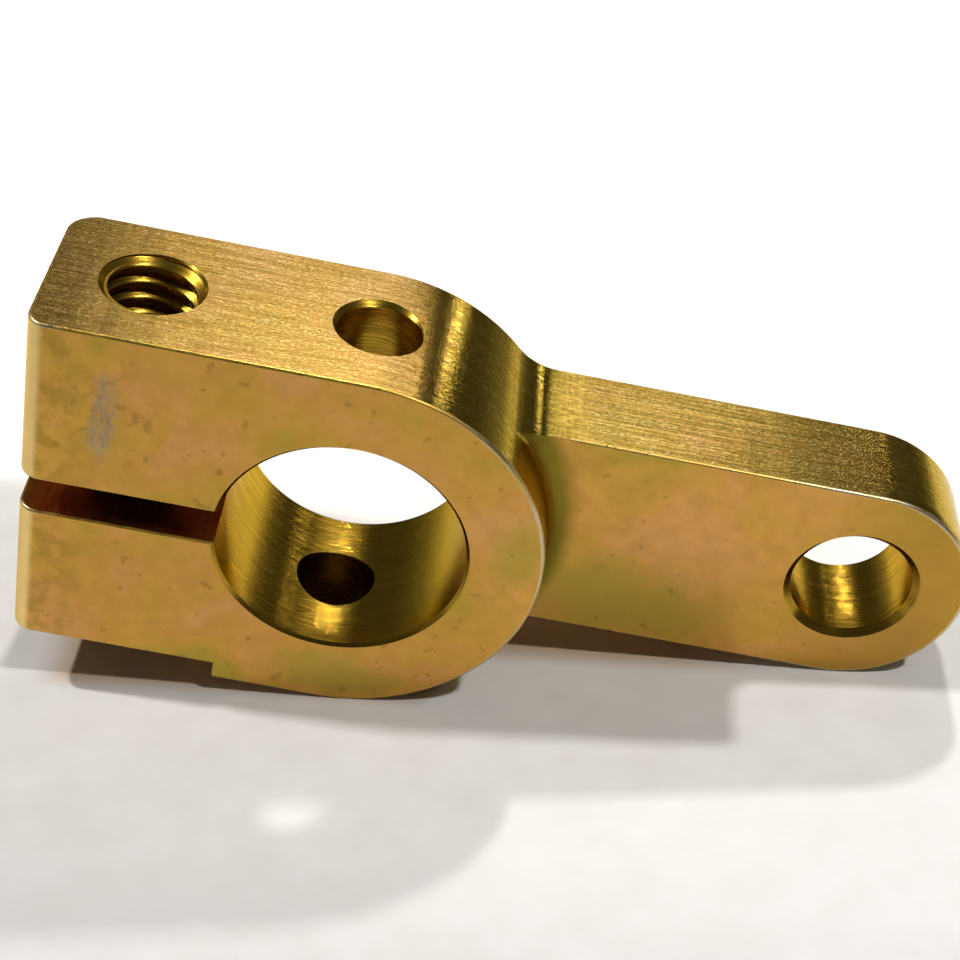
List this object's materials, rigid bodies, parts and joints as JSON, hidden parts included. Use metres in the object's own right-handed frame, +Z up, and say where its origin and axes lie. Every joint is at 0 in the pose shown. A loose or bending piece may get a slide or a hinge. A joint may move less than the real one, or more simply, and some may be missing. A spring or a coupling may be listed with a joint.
{
  "type": "split clamp lever",
  "caption": "Round-nosed split clamp head that a recessed screw pinches onto a shaft, with a thinner flat arm that ends in an eye.",
  "frame": {"origin": "centre of the shaft bore, halfway through the clamp head", "axes": "+X along the arm towards the eye, +Y along the shaft bore towards the flush back face, +Z up through the head's flat top"},
  "size_m": [0.0734, 0.0152, 0.0308],
  "materials": {
    "yellow_zinc": "yellow chromate zinc plating over milled steel, satin with a faint green and salmon iridescence",
    "black_oxide": "black oxide with an oily satin sheen",
    "phosphate": "dark grey phosphate, slightly worn on the edges"
  },
  "bodies": {
    "lever": {"lever_body": "yellow_zinc"},
    "washer": {"lock_washer": "phosphate"},
    "screw": {"pinch_screw": "black_oxide"}
  },
  "joints": [
    {"name": "screw_advance", "type": "slide", "parent": "lever", "child": "washer", "axis": [0, 0, -1], "range_m": [0, 0.00424]},
    {"name": "screw_turn", "type": "hinge", "parent": "washer", "child": "screw", "pos_m": [-0.01675, 0, -0.0083], "axis": [0, 0, -1], "range_deg": [0, 1080]}
  ],
  "couplings": [
    {"joint": "screw_advance", "follows": "screw_turn", "m_per_rad": 0.00022458}
  ]
}
